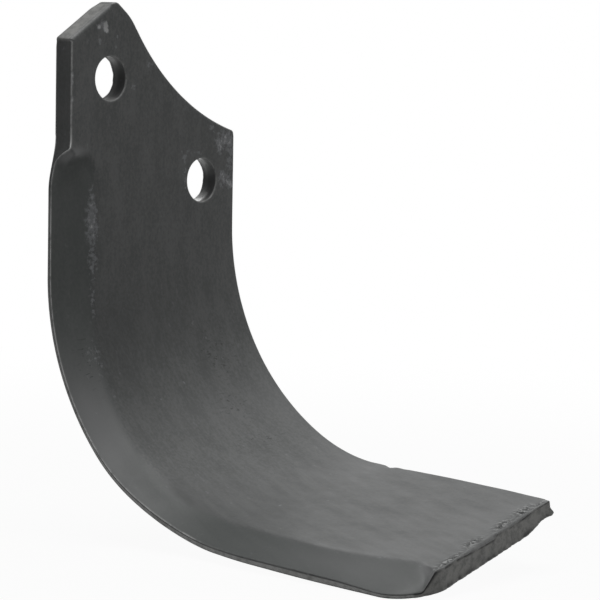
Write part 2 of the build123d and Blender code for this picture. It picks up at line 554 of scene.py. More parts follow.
@dataclass(frozen=True)
class EdgeFinish:
    """How the blank's edges and walls are rounded, torn, rubbed bright and given painted shade and painted
    highlights, stretch by stretch.
    """

    hole_diameter: float
    # Radii of the edges.
    other_radius: float = 0.7
    front_radii: Table = table(INNER=0.5, SLOPE=1.6, SIDE=0.3, CUTTING=0.22, HOLE=0.4)
    back_radii: Table = table(SIDE=0.25, CUTTING=0.4, TIP=0.15, HOLE=0.2)
    lips: tuple[Point, ...] = (
        (-33.0, 0.2), (-27.0, 0.3), (-20.0, 0.25), (-14.0, 0.7), (-6.0, 1.1), (3.0, 1.5), (4.6, 0.4), (12.0, 0.8),
        (22.0, 0.7), (30.0, 0.25), (39.0, 0.2),
    )
    # Edges that are rubbed bright.
    rims: Table = table(INNER=0.25, HEAD=0.3, SLOPE=0.1, SIDE=0.7, CUTTING=1.0, TIP=0.15, HOLE=0.4)
    rim_reaches: Point = (0.33, 0.2)
    rim_widening: Fade = Fade(-14.0, 6.0, 0.15)
    wall_rim: Hump = Hump(0.0, 0.03)
    back_rim: Hump = Hump(0.0, 0.4, 0.5)
    wing_dulling: Fade = Fade(-146.0, -12.0, 0.85)
    shoulder_shine: Hump = Hump(-4.9, 2.4, 0.5)
    below_dulling: Hump = Hump(-16.0, 8.0, 0.4)
    # Walls that are torn, that carry painted shade or painted highlights, or that grow darker towards their foot.
    sheared: Table = table(SLOPE=0.6, TIP=1.0)
    # The top and bottom of a hole's wall are torn more, and their lighter torn colour is partly painted light.
    hole_shear_and_light: float = 0.9
    upright_power: int = 5
    # Painted shade on a hole's sides, lessened on its upper part where the top carries a painted highlight.
    hole_dulling: float = 0.5
    hole_dull_rise: float = 0.2
    least_dull: float = 0.45
    # Painted shade on the shank's side wall.
    side_shade: float = 0.6
    # Painted shade on the cutting edge's wall by the shoulder.
    shoulder_shade: Fade = Fade(-18.0, 15.0, 0.6)
    # Painted highlight on the top and bottom of a hole's wall.
    painted_highlight_power: float = 0.7
    # Painted light on the land past the shoulder, as a painted highlight and as extra torn colour.
    edge_painted_highlight: Fade = Fade(-60.0, -60.0, 0.4, 0.15)
    land_shear_and_light: Fade = Fade(-40.0, -50.0, 0.5, 0.4)
    past_shoulder: Fade = Fade(-16.0, -10.0)
    land_from: float = 0.25
    land_fade: float = 0.15
    tip_corner: Fade = Fade(-29.5, -3.0)
    foot_darkening: float = 0.75
    foot_from: float = 0.66
    foot_fade: float = 0.24
    # The broken painted shadow line below the front edge, and the wall's flare.
    breaks: Grit = Grit(0.22, 11.3, 3)
    break_level: float = 0.65
    break_strength: float = 1.1
    undercut_shadows: Table = table(CUTTING=0.9, TIP=1.0)
    undercut_end: Fade = Fade(-18.0, 10.0)
    groove: float = 0.22
    line_places: Point = (0.06, 0.13)
    corner_line_drop: float = 0.06
    line_widths: Point = (0.045, 0.1)
    corner_line_widening: float = 0.1
    flare_from: float = 0.45
    flares_from: Table = table(TIP=0.62, SLOPE=0.1)

    def dress(self, loop: Loop, painted_highlights: Point) -> EdgeDress:
        """Works out how one loop's edges and wall look.

        Args:
            loop: The loop.
            painted_highlights: The painted highlights on the top and the bottom of a hole's wall.

        Returns:
            The loop's dress.
        """
        x, z = loop.places.T
        on_side, on_edge, on_tip, in_hole = (
            loop.on(kind) for kind in (Stretch.SIDE, Stretch.CUTTING, Stretch.TIP, Stretch.HOLE)
        )

        def by_edge(values: Point) -> np.ndarray:
            """Returns the second value on the cutting edge and the first elsewhere."""
            return np.where(on_edge, values[1], values[0])

        rim = loop.of_kind(self.rims) * (1.0 - on_edge * self.wing_dulling.at(z))
        rim = rim * (1.0 + (on_side + on_edge) * self.shoulder_shine.at(z))
        # A hole's sides get painted shade, and its top and bottom painted highlights.
        arm = loop.places - loop.places.mean(0)
        upright = np.abs(arm[:, 1] / np.linalg.norm(arm, axis=1)) ** self.upright_power
        height = smooth_step(self.hole_dull_rise + arm[:, 1] / self.hole_diameter * 2.0)
        dull = np.clip(1.0 - self.hole_dulling * painted_highlights[0] * height, self.least_dull, 1.0)
        painted_shading = in_hole * (1.0 - upright) * dull + on_side * self.side_shade
        painted_highlight = np.where(arm[:, 1] < 0.0, painted_highlights[1], painted_highlights[0]) * upright**self.painted_highlight_power
        # The land past the shoulder is painted lighter, standing in for light from below.
        lit_land = on_edge * self.past_shoulder.at(z)
        corner = on_tip * self.tip_corner.at(x)
        broken = self.break_level + self.break_strength * self.breaks.at(loop.places) + corner
        broken = np.clip(broken, 0.0, 1.0)
        front_radius = loop.of_kind(self.front_radii, self.other_radius)
        return EdgeDress(
            front_radius=np.where(on_tip, line_through(self.lips, x), front_radius),
            back_radius=loop.of_kind(self.back_radii, self.other_radius),
            rim=rim * (1.0 - on_edge * self.below_dulling.at(z)),
            rim_reach=by_edge(self.rim_reaches) + on_edge * self.rim_widening.at(z),
            sheared=loop.of_kind(self.sheared) + in_hole * self.hole_shear_and_light * upright,
            lit_land=lit_land * self.land_shear_and_light.at(z),
            painted_highlight=painted_highlight + lit_land * self.edge_painted_highlight.at(z),
            painted_shading=painted_shading + on_edge * self.shoulder_shade.at(z),
            foot_darkening=on_tip * self.foot_darkening * (1.0 - corner) * broken,
            undercut_shadow=loop.of_kind(self.undercut_shadows) * broken * (1.0 - on_edge * self.undercut_end.at(z)),
            groove=on_tip * self.groove * broken,
            line_at=by_edge(self.line_places) + self.corner_line_drop * corner,
            line_width=by_edge(self.line_widths) + self.corner_line_widening * corner,
            flare_from=loop.of_kind(self.flares_from, self.flare_from),
        )

    def wall(self, dress: EdgeDress, share: float) -> dict[str, Any]:
        """Works out how one row of a wall's points looks.

        Args:
            dress: The dress of the wall's loop.
            share: The row's share of the wall's height.

        Returns:
            The rim, shear, painted shade and wall values of the row, by name.
        """
        past = float(np.clip((share - self.land_from) / self.land_fade, 0.0, 1.0))
        foot = float(np.clip((share - self.foot_from) / self.foot_fade, 0.0, 1.0))
        # Painted shade on the wall, the painted shadow line below the front edge, and the darker foot.
        soot = dress.painted_shading + dress.undercut_shadow * dress.line(share) + dress.foot_darkening * foot
        # The wall's painted highlight joins the rubbed rim, and the land's painted light joins the torn colour.
        return {
            "rim": dress.rim * self.wall_rim.at(share) + dress.painted_highlight * past,
            "shear": dress.sheared + dress.lit_land * past,
            "soot": np.clip(soot, 0.0, 1.0),
            "wall": 1.0,
        }


@dataclass
class BladeBlank:
    """The flat blank: outline, holes, bevel, rounded edges, the marks of its making and handling, and painted light
    and shade.
    """

    sizes: BladeSizes = field(default_factory=BladeSizes)
    # Distances between points, and the zones where they lie closer.
    outline_step: float = 0.9
    slope_step: float = 0.6
    corner_step: float = 0.2
    shoulder_edge_step: float = 0.35
    edge_step: float = 0.8
    shoulder_end: float = -16.0
    hole_step: float = 0.5
    fine_step: float = 0.38
    tip_spread: float = 1.15
    crust_step: float = 0.27
    shoulder_step: float = 0.55
    line_step: float = 0.7
    front_step: float = 0.95
    back_step: float = 1.7
    seeds_top: float = 44.0
    tip_zone: float = 6.5
    tip_zone_top: float = 8.0
    crust_zone: float = 6.4
    crust_least: float = 0.2
    shoulder_zone: Point = (-26.0, -20.0)
    line_zone: float = 1.5
    line_zone_top: float = -8.0
    line_rows: tuple[float, ...] = (-1.1, -0.45, 0.0, 0.45, 1.1)
    insets: tuple[float, ...] = (0.0, 0.06, 0.2, 0.42, 0.8, 1.3)
    wall_shares: tuple[float, ...] = (0.04, 0.09, 0.15, 0.22, 0.3, 0.4, 0.5, 0.6, 0.7, 0.79, 0.87, 0.94)
    # The outer edge.
    inner_swell: tuple[Spot, ...] = spots(
        (0.0, -104.0, 1.0, 18.0, 0.3), (0.0, -185.0, 1.0, 26.0, 1.0), (0.0, -208.0, 1.0, 9.0, 0.35),
        (0.0, -153.5, 1.0, 1.8, -0.42), (0.0, -160.2, 1.0, 1.3, -0.25), (0.0, -147.0, 1.0, 2.5, 0.25),
    )
    tears: Grit = Grit(0.45, 3.7, 4)
    bites: Grit = Grit(0.16, 8.1, 1)
    tear_level: float = 0.1
    tear_depth: float = 0.32
    bite_depth: float = 0.16
    tear_limit: float = 0.6
    tear_end_points: float = 9.0
    tear_end_share: float = 0.4
    burr: Hump = Hump(0.0, 1.7, 0.8)
    full_from: Fade = Fade(-100.0, 50.0)
    full_to: Fade = Fade(31.0, -4.0)
    lean_inset: float = 1.0
    lean_length: float = -5.0
    # The punched holes.
    punch_ease: float = 0.2
    punch_shift: Point = (0.25, 0.0)
    hole_break_out: float = 0.75
    hole_grit: Grit = Grit(3.0, 5.0, 3)
    hole_jag: float = 0.3
    hole_foot: float = 0.5
    hole_foot_power: int = 3
    hole_burrs: Point = (0.9, 0.2)
    # Painted highlights on the top and the bottom of each loop's wall: none on the outline, then each hole's.
    hole_painted_highlights: tuple[Point, ...] = ((0.0, 0.0), (0.95, 0.15), (1.6, 2.2))
    # The bevel.
    bevel_line: tuple[Point, ...] = (
        (0.0, -30.1), (-55.0, -30.1), (-84.0, -31.6), (-100.0, -33.6), (-120.0, -33.4), (-143.0, -31.4),
        (-175.0, -33.3), (-205.0, -34.0), (-217.0, -33.0), (-226.0, -31.4), (-235.0, -29.6), (-262.0, -24.0),
    )
    line_reach: float = 9.0
    line_samples: int = 13
    bevel_tip_end: tuple[Point, Point] = ((-26.0, -241.0), (-31.7, -252.8))
    lands: tuple[Point, ...] = (
        (0.0, 1.2), (-30.0, 1.1), (-70.0, 1.3), (-100.0, 1.6), (-125.0, 2.0), (-160.0, 2.2), (-222.0, 2.3),
        (-238.0, 1.6), (-262.0, 1.5),
    )
    land_limit: float = -31.5
    lag_inset: float = 0.8
    lag_length: float = 3.2
    bevel_end_level: float = 0.45
    bevel_end_blend: float = 4.2
    tip_end_blend: Fade = Fade(-29.0, -4.0, -1.4, 2.0)
    creases: tuple[Point, ...] = (
        (0.0, 3.0), (-12.0, 2.6), (-26.0, 1.3), (-70.0, 1.0), (-95.0, 0.9), (-116.0, 1.3), (-135.0, 2.2),
        (-160.0, 0.6), (-262.0, 0.3),
    )
    crease_share: Fade = Fade(0.0, 6.0, 0.7, 0.3)
    # The two faces.
    lip_trough: Hump = Hump(1.5, 0.5, 0.14)
    lip_ridge: Hump = Hump(0.35, 0.5, 0.16)
    lip_ends: tuple[Fade, Fade] = (Fade(30.0, -6.0), Fade(-30.0, 5.0))
    rolled_across: Fade = Fade(30.0, 9.0, 0.25)
    rolled_along: Hump = Hump(0.0, 2.0)
    drawn_along: Hump = Hump(0.0, 3.2, 1.9)
    drawn_inset: float = 17.0
    drawn_length: float = 14.0
    edge_sag: Spot = Spot(4.0, -208.0, 9.0, 24.0, 0.35)
    dents: tuple[Spot, ...] = spots(
        (21.8, -180.5, 1.0, 1.0, -0.10), (17.5, -195.2, 1.0, 1.0, -0.10), (38.8, -153.5, 1.2, 1.8, 0.4),
        (-25.8, 34.2, 1.5, 1.3, 0.3), (12.0, -205.0, 9.0, 20.0, 0.10), (-8.0, -120.0, 12.0, 18.0, 0.08),
    )
    # What the masks show.
    front_margin: float = 0.4
    facet_start: Fade = Fade(0.15, 0.45)
    wear_spots: tuple[Spot, ...] = spots(
        (-28.6, 34.0, 1.1, 0.8, 2.6), (-26.4, 34.9, 1.8, 1.6, 1.5), (-25.0, 34.2, 0.8, 1.6, 2.1),
        (-24.6, 32.8, 0.8, 0.7, 2.5), (-19.5, 30.8, 0.8, 1.0, 1.6), (-28.0, 29.6, 0.8, 2.0, 1.15),
        (-25.0, 29.0, 0.8, 1.3, 1.15), (-20.6, 27.6, 0.7, 1.6, 1.25), (-33.5, 29.5, 0.8, 0.8, 0.9),
        (-41.0, 18.5, 1.0, 0.9, 2.8), (-41.0, 16.2, 1.0, 0.7, 2.6), (-41.0, 10.5, 1.0, 0.7, 2.6),
        (31.0, -4.2, 3.0, 3.4, 1.15), (36.0, -3.6, 3.2, 3.4, 1.45), (27.6, 0.6, 1.6, 1.6, 1.2),
        (38.0, -8.0, 1.6, 1.4, 1.2), (32.0, -7.6, 1.4, 1.4, 1.1), (33.0, -15.6, 1.8, 1.2, 1.3),
        (33.6, -18.0, 2.8, 2.6, 1.2), (37.2, -19.2, 1.8, 1.8, 1.6), (36.8, -12.5, 2.0, 4.4, 1.05),
        (14.0, -8.6, 2.4, 3.0, 0.8), (14.4, -17.0, 1.5, 6.0, 1.15), (20.5, -8.0, 3.0, 1.6, 0.8),
        (-4.6, 21.6, 3.0, 2.0, 0.85), (-12.0, 14.5, 2.2, 2.0, 0.85), (-30.3, -30.0, 2.8, 7.5, 1.5),
        (-29.6, -42.5, 2.6, 6.0, 0.85), (-30.4, -21.0, 1.2, 6.0, 0.95), (-30.4, -54.0, 1.2, 10.0, 0.95),
        (0.5, -86.2, 0.9, 0.9, 1.2), (-10.8, -156.5, 0.9, 0.9, 1.1), (-13.0, -91.0, 0.8, 0.8, 1.1),
        (-27.8, -176.5, 0.9, 0.9, 1.1), (17.2, -70.8, 0.8, 0.8, 1.0), (-33.6, -74.0, 2.8, 7.0, 0.9),
    )
    pit_spots: tuple[Spot, ...] = spots(
        (20.0, -76.0, 8.0, 9.0, 1.0), (16.0, -98.0, 7.0, 7.0, 0.8), (16.0, -115.0, 9.0, 6.0, 0.9),
        (-35.0, -75.0, 3.5, 8.0, 1.0),
    )
    # Painted light: spots where the skin is painted lighter to stand in for brighter light.
    painted_light_spots: tuple[Spot, ...] = spots(
        (-38.2, -6.5, 4.2, 2.0, 1.6), (-40.0, -9.0, 2.4, 1.6, 0.9), (20.0, -96.0, 24.0, 13.0, 0.34),
        (-8.0, -100.0, 26.0, 9.0, 0.2), (35.0, -136.0, 8.0, 28.0, 0.36), (-38.5, -216.0, 7.0, 30.0, 0.7),
        (-35.0, 12.0, 9.0, 14.0, 0.15), (18.0, -11.0, 8.0, 5.0, 0.2), (-42.0, -115.0, 4.0, 26.0, 0.35),
        (-26.0, -223.0, 6.0, 9.0, 0.3), (21.0, -145.0, 11.0, 13.0, 0.26), (0.0, -230.0, 26.0, 12.0, 0.2),
        (31.0, -230.0, 9.0, 6.0, 0.3), (36.0, -34.0, 6.0, 14.0, 0.2), (36.0, -96.0, 7.0, 14.0, 0.25),
        (-40.0, -88.0, 3.0, 8.0, 0.25),
    )
    # Painted light on the bevel's facet around the middle of the bend, and on the wall at the bevel's end by the
    # tip.
    bevel_painted_light: float = 1.1
    bevel_painted_light_across: Fade = Fade(0.5, -3.0)
    bevel_painted_light_along: Hump = Hump(-94.0, 20.0)
    end_painted_light: Hump = Hump(0.0, 2.6, 1.9)
    end_painted_light_start: Fade = Fade(-0.6, 1.8)
    end_painted_light_along: Fade = Fade(-241.0, -5.0)
    shade_spots: tuple[Spot, ...] = spots(
        (-6.0, -59.0, 42.0, 14.0, 0.36), (-24.0, -76.0, 12.0, 20.0, 0.34), (-24.0, -134.0, 15.0, 11.0, 0.24),
        (-31.5, -134.0, 3.4, 13.0, 0.38), (2.0, -70.0, 24.0, 7.0, 0.12), (20.0, -218.0, 8.0, 8.0, 0.1),
    )
    shade_start: Fade = Fade(-3.5, 3.0)
    crust_spots: tuple[Spot, ...] = spots(
        (12.0, 2.2, 4.6, 1.9, 1.3), (26.0, 2.8, 4.6, 2.2, 1.2), (-6.0, 3.0, 4.4, 1.9, 1.0),
        (-23.0, 1.3, 7.0, 1.5, 1.1), (35.0, 1.0, 4.0, 1.0, 0.6),
    )
    crust_reach: Hump = Hump(0.0, 7.0)
    crust_start: Fade = Fade(0.25, 0.6)

    def outline(self) -> Loop:
        """Lays out the blank's outer edge, once round, from the tip's inner corner.

        Returns:
            The outer loop.
        """
        s, step, fine = self.sizes, self.outline_step, self.fine_step
        slope, fall, tip = (math.radians(a) for a in (s.top_slope, s.crown_fall, s.tip_slope))
        inner_corner = (s.inner_x, -s.inner_corner_drop)
        side_top = (s.side_x, s.cutting_side_top)
        peak = (s.side_x + s.peak_inset, s.cutting_side_top + s.peak_inset * math.tan(slope))
        crown_end = (peak[0] + s.crown_width, peak[1] - s.crown_width * math.tan(fall))
        chord = np.array(crown_end) - np.array(inner_corner)
        half = float(np.linalg.norm(chord)) / 2.0
        towards_centre = np.array((chord[1], -chord[0])) / (2.0 * half)
        centre = (np.array(inner_corner) + np.array(crown_end)) / 2.0
        centre = centre + towards_centre * math.sqrt(s.scallop_radius**2 - half**2)

        def scallop_heading(place: Point) -> Point:
            """Returns the direction of travel along the scallop at one of its points."""
            arm = (np.array(place) - centre) / s.scallop_radius
            return (float(arm[1]), float(-arm[0]))

        up_crown, down_slope = (-math.cos(fall), math.sin(fall)), (-math.cos(slope), -math.sin(slope))
        down, along_tip = (0.0, -1.0), (math.cos(tip), math.sin(tip))
        inner_arc = rounded(inner_corner, (0.0, 1.0), scallop_heading(inner_corner), s.inner_corner_radius, fine)
        crown_arc = rounded(crown_end, scallop_heading(crown_end), up_crown, s.crown_radius, step)
        peak_arc = rounded(peak, up_crown, down_slope, s.peak_radius, fine)
        side_arc = rounded(side_top, down_slope, down, s.side_top_radius, self.corner_step)
        tip_arc = rounded(s.tip_outer, down, along_tip, s.tip_corner_radius, fine)
        half_arc = len(tip_arc) // 2
        first, last = (math.atan2(*(point - centre)[::-1]) for point in (inner_arc[-1], crown_arc[0]))
        angles = np.linspace(first, last, math.ceil(2.0 * half / step))[1:-1]
        scallop = centre + s.scallop_radius * np.stack([np.cos(angles), np.sin(angles)], 1)
        shoulder_z = np.arange(-s.shoulder_drop, self.shoulder_end, -self.shoulder_edge_step)
        edge_z = np.concatenate([shoulder_z, np.arange(self.shoulder_end, tip_arc[0][1], -self.edge_step)])
        inner = straight(s.tip_inner, tuple(inner_arc[0]), step)
        inner[:, 0] += marks(self.inner_swell, np.zeros(len(inner)), inner[:, 1])
        runs = (
            (inner, Stretch.INNER),
            (inner_arc, Stretch.HEAD),
            (scallop, Stretch.HEAD),
            (crown_arc, Stretch.HEAD),
            (peak_arc, Stretch.HEAD),
            (straight(tuple(peak_arc[-1]), tuple(side_arc[0]), self.slope_step)[1:], Stretch.SLOPE),
            (side_arc, Stretch.SLOPE),
            (straight(tuple(side_arc[-1]), (s.side_x, -s.shoulder_drop), step)[1:], Stretch.SIDE),
            (np.stack([s.cutting_x(edge_z), edge_z], 1), Stretch.CUTTING),
            (tip_arc[:half_arc], Stretch.CUTTING),
            (tip_arc[half_arc:], Stretch.TIP),
            (straight(tuple(tip_arc[-1]), s.tip_inner, fine)[1:], Stretch.TIP),
        )
        places = np.concatenate([run for run, _ in runs])
        kinds = np.concatenate([np.full(len(run), stretch.value) for run, stretch in runs])
        return Loop(places, kinds, self.outline_flare(places, kinds, peak[0]))

    def outline_flare(self, places: np.ndarray, kinds: np.ndarray, peak_x: float) -> np.ndarray:
        """Works out how far the outer edge draws back at the back face.

        Args:
            places: The outline's x and z.
            kinds: The Stretch value of each point.
            peak_x: The x of the head's peak.

        Returns:
            The distance at each point, below 0 where the metal stands out.
        """
        s, (x, z) = self.sizes, places.T
        torn = self.tear_level + self.tear_depth * self.tears.at(places) + self.bite_depth * self.bites.at(places)
        torn = np.clip(torn, 0.0, self.tear_limit)
        on_tip = kinds == Stretch.TIP.value
        count = np.cumsum(on_tip)
        to_end = np.minimum(count, (count[-1] + 1 - count) * self.tear_end_share)
        torn = np.where(on_tip, torn * smooth_step(to_end / self.tear_end_points), 0.0)
        burr = self.burr.at(np.hypot(x - s.tip_inner[0], z - s.tip_inner[1]))
        on_side = (kinds == Stretch.SIDE.value) | (kinds == Stretch.CUTTING.value)
        full = s.side_fullness * self.full_from.at(z) * self.full_to.at(z)
        lean = Fade(peak_x - self.lean_inset, self.lean_length).at(x)
        lean = s.top_lean * (kinds == Stretch.SLOPE.value) * lean
        return torn - burr - full * on_side - lean

    def holes(self) -> list[Loop]:
        """Lays out the two punched holes.

        Returns:
            Their loops, the upper hole's first.
        """
        s = self.sizes
        reach, lean = s.hole_spacing / 2.0, math.radians(s.hole_line_angle)
        offset = np.array((reach * math.cos(lean), -reach * math.sin(lean)))
        count = math.ceil(math.pi * s.hole_diameter / self.hole_step)
        angles = -np.arange(count) * 2.0 * math.pi / count
        circle = np.stack([np.cos(angles), np.sin(angles)], 1)
        ring = (s.hole_diameter / 2.0 - self.punch_ease) * circle + np.array(self.punch_shift)
        bottom = np.clip(-np.sin(angles), 0.0, 1.0) ** self.hole_foot_power
        loops = []
        for number, (middle, burr) in enumerate(zip((-offset, offset), self.hole_burrs)):
            jag = 1.0 + self.hole_jag * self.hole_grit.at(circle, number)
            flare = self.hole_break_out * jag * (1.0 - (self.hole_foot + burr) * bottom)
            loops.append(Loop(middle + ring, np.full(count, Stretch.HOLE.value), flare))
        return loops

    def line_x(self, z: np.ndarray) -> np.ndarray:
        """Returns the x of the line where the bevel meets the front face, smoothed along its length."""
        shifts = np.linspace(-self.line_reach, self.line_reach, self.line_samples)
        return np.mean([line_through(self.bevel_line, z + shift) for shift in shifts], axis=0)

    def before_end(self, x: np.ndarray, z: np.ndarray) -> np.ndarray:
        """Measures how far places lie from the line that ends the bevel at the tip.

        Args:
            x: Places across the bar.
            z: Places along the bar.

        Returns:
            The distances, above 0 on the bevel's side.
        """
        (near_x, near_z), (far_x, far_z) = self.bevel_tip_end
        length = math.hypot(far_x - near_x, far_z - near_z)
        return ((x - near_x) * (far_z - near_z) - (z - near_z) * (far_x - near_x)) / length

    def bevel_depth(self, x: np.ndarray, z: np.ndarray) -> np.ndarray:
        """Works out how deep the bevel is cut.

        Args:
            x: Places across the bar.
            z: Places along the bar.

        Returns:
            The depth below the front face at each place.
        """
        s = self.sizes
        end_rise, tip_rise = (math.tan(math.radians(a)) for a in (s.bevel_end_slope, s.bevel_tip_slope))
        line, edge = self.line_x(z), np.minimum(s.land_x(z), self.land_limit)
        plane = (s.thickness - line_through(self.lands, z)) * (line - x) / (line - edge)
        turn = np.clip((x - line) / s.bevel_end_radius + 1.0, 0.0, 1.0)
        level = np.sqrt(1.0 - turn * turn)
        lag = s.bevel_lag * smooth_step((x - s.side_x + self.lag_inset) / self.lag_length)
        below = -s.bevel_drop - lag - s.bevel_end_radius * (1.0 - level) - z
        deep = soft_min(plane, below * np.maximum(level, self.bevel_end_level) / end_rise, self.bevel_end_blend)
        deep = soft_min(deep, self.before_end(x, z) / tip_rise, self.tip_end_blend.at(x))
        crease = line_through(self.creases, z) * self.crease_share.at(x - s.land_x(z))
        return np.maximum(-soft_min(-deep, np.zeros_like(deep), crease), 0.0)

    def front_depth(self, x: np.ndarray, z: np.ndarray) -> np.ndarray:
        """Works out the front face, before its edges are rounded.

        Args:
            x: Places across the bar.
            z: Places along the bar.

        Returns:
            Its depth at each place.
        """
        from_tip = self.sizes.from_tip(x, z)
        lip = self.lip_trough.at(from_tip) - self.lip_ridge.at(from_tip)
        for end in self.lip_ends:
            lip = lip * end.at(x)
        rolled = self.rolled_across.at(x) * self.rolled_along.at(np.maximum(from_tip, 0.0))
        return self.bevel_depth(x, z) + marks(self.dents, x, z) + lip + rolled

    def back_depth(self, x: np.ndarray, z: np.ndarray) -> np.ndarray:
        """Works out the back face, before its edges are rounded.

        Args:
            x: Places across the bar.
            z: Places along the bar.

        Returns:
            Its depth at each place.
        """
        s, sag = self.sizes, self.edge_sag
        across = Fade(s.inner_x - self.drawn_inset, self.drawn_length).at(x)
        drawn = self.drawn_along.at(np.maximum(s.from_tip(x, z), 0.0)) * across
        return s.thickness - drawn + sag.field_at(np.maximum(x - s.cutting_x(z), sag.x), z)

    def zones(self, places: np.ndarray) -> tuple[np.ndarray, ...]:
        """Tells which places lie where the front face has fine forms.

        Args:
            places: The places, one to a row.

        Returns:
            Which lie by the tip, in the crust, at the bevel's upper end and by the bevel line.
        """
        x, z = places.T
        from_tip = self.sizes.from_tip(x, z)
        crusted = (marks(self.crust_spots, x, from_tip) > self.crust_least) & (from_tip > 0.0)
        right, low = self.shoulder_zone
        by_line = (np.abs(x - self.line_x(z)) < self.line_zone) & (z < self.line_zone_top)
        at_shoulder = (x < right) & (z > low) & (z < 0.0)
        return from_tip < self.tip_zone, crusted & (from_tip < self.crust_zone), at_shoulder, by_line

    def seeds(self, step: float, fine: bool) -> np.ndarray:
        """Lays staggered points over the blank, closer where the front face has fine forms.

        Args:
            step: Distance between points on plain metal.
            fine: Whether the tip's edge, the shoulder and the bevel line get closer points.

        Returns:
            The points, some of which lie outside the outline.
        """
        s = self.sizes
        low, tip_high = (s.edge_x - s.side_fullness, s.tip_outer[1]), (s.inner_x, s.tip_inner[1] + self.tip_zone_top)
        plain = lattice(low, (s.inner_x, self.seeds_top), step)
        if not fine:
            return plain
        by_tip, _, at_shoulder, by_line = self.zones(plain)
        plain = plain[~(by_tip | at_shoulder | by_line)]
        tip_points = lattice(low, tip_high, self.fine_step * self.tip_spread)
        by_tip, crusted, _, _ = self.zones(tip_points)
        tip_points = tip_points[by_tip & ~crusted]
        crust_points = lattice(low, tip_high, self.crust_step)
        crust_points = crust_points[self.zones(crust_points)[1]]
        right, bottom = self.shoulder_zone
        shoulder_points = lattice((low[0], bottom), (right, 0.0), self.shoulder_step)
        shoulder_points = shoulder_points[self.zones(shoulder_points)[2]]
        line_z = np.arange(bottom, s.tip_outer[1], -self.line_step)
        line_points = np.concatenate([np.stack([self.line_x(line_z) + row, line_z], 1) for row in self.line_rows])
        line_points = line_points[~self.zones(line_points)[0]]
        return np.concatenate([plain, tip_points, crust_points, shoulder_points, line_points])

    def clear_of(self, rims: list[np.ndarray], seeds: np.ndarray) -> np.ndarray:
        """Picks the points that lie between closed rims and clear of them.

        Args:
            rims: The outer rim and then the rims of the holes.
            seeds: The points.

        Returns:
            The points that were picked.
        """
        guards = np.concatenate([*rims, *((rim + np.roll(rim, -1, 0)) / 2.0 for rim in rims)])
        near = kdtree.KDTree(len(guards))
        for number, (x, z) in enumerate(guards):
            near.insert((x, z, 0.0), number)
        near.balance()
        x, z = seeds.T
        inside = np.zeros(len(seeds), bool)
        for rim in rims:
            for (ax, az), (bx, bz) in zip(rim, np.roll(rim, -1, 0)):
                if az != bz:
                    inside ^= ((az > z) != (bz > z)) & (x < (bx - ax) * (z - az) / (bz - az) + ax)
        seeds = seeds[inside]
        return seeds[np.array([near.find((x, z, 0.0))[2] > self.fine_step for x, z in seeds])]

    def fill(self, rims: list[np.ndarray], seeds: np.ndarray) -> tuple[np.ndarray, np.ndarray]:
        """Fills the flat between closed rims with triangles.

        Args:
            rims: The outer rim and then the rims of the holes.
            seeds: Points to be taken up where they lie on the flat.

        Returns:
            The added points, and the triangles, whose numbers count the rims' points first.
        """
        seeds = self.clear_of(rims, seeds)
        edges, owners = [], []
        for number, rim in enumerate(rims):
            numbers = np.arange(len(owners), len(owners) + len(rim))
            edges += zip(numbers.tolist(), np.roll(numbers, -1).tolist())
            owners += [number] * len(rim)
        places = [Vector(place) for place in np.concatenate([*rims, seeds]).tolist()]
        found = delaunay_2d_cdt(places, edges, [], INSIDE_RIMS, MERGE_DISTANCE)
        origin = np.array([group[0] for group in found[3]])
        triangles = origin[np.array(found[2])]
        # A triangle with all its corners on one hole's rim lies in that hole.
        corners = np.array(owners + [0] * len(seeds))[triangles]
        in_hole = (corners[:, 0] > 0) & (corners == corners[:, :1]).all(1)
        return seeds, triangles[~in_hole]

    def lay_edge(self, skin: Skin, loop: Loop, finish: EdgeFinish, painted_highlights: Point) -> tuple[np.ndarray, np.ndarray]:
        """Lays the rows of points around one loop, from the front face over the wall to the back face.

        Args:
            skin: What the points and faces are added to.
            loop: The loop.
            finish: How its edges are finished.
            painted_highlights: The painted highlights on the top and the bottom of a hole's wall.

        Returns:
            The numbers of the innermost row on the front and of that on the back.
        """
        dress, width = finish.dress(loop, painted_highlights), self.insets[-1]
        back = loop.inset(loop.flare)
        front_rim, back_rim = loop.band(loop.places, width), loop.band(back, width)
        rows = []
        for inset in self.insets[::-1]:
            share = inset / width
            at = loop.places * (1.0 - share) + front_rim * share
            depth = self.front_depth(*at.T) + rounding(inset, dress.front_radius)
            rows.append(skin.add(at, depth, rim=dress.rim * np.exp(-((inset / dress.rim_reach) ** 2))))
        front_edge, back_edge = depth, self.back_depth(*back.T) - rounding(0.0, dress.back_radius)
        for share in self.wall_shares:
            at = loop.inset(loop.flare * dress.drawn(share) + dress.groove * dress.line(share))
            depth = front_edge * (1.0 - share) + back_edge * share
            rows.append(skin.add(at, depth, **finish.wall(dress, share)))
        for inset in self.insets:
            share = inset / width
            at = back * (1.0 - share) + back_rim * share
            depth = self.back_depth(*at.T) - rounding(inset, dress.back_radius)
            rows.append(skin.add(at, depth, rim=dress.rim * finish.back_rim.at(inset)))
        skin.join(rows)
        return rows[0], rows[-1]

    def lay_face(self, skin: Skin, rims: tuple[np.ndarray, ...], is_back: bool) -> None:
        """Covers the front or the back face between the loops.

        Args:
            skin: What the points and faces are added to.
            rims: The numbers of each loop's innermost row.
            is_back: Whether it is the back face.
        """
        known = skin.columns()[0]
        step, depth_at = (self.back_step, self.back_depth) if is_back else (self.front_step, self.front_depth)
        seeds = self.seeds(step, fine=not is_back)
        seeds, triangles = self.fill([known[numbers] for numbers in rims], seeds)
        triangles = np.concatenate([*rims, skin.add(seeds, depth_at(*seeds.T))])[triangles]
        skin.faces.extend((triangles[:, ::-1] if is_back else triangles).tolist())

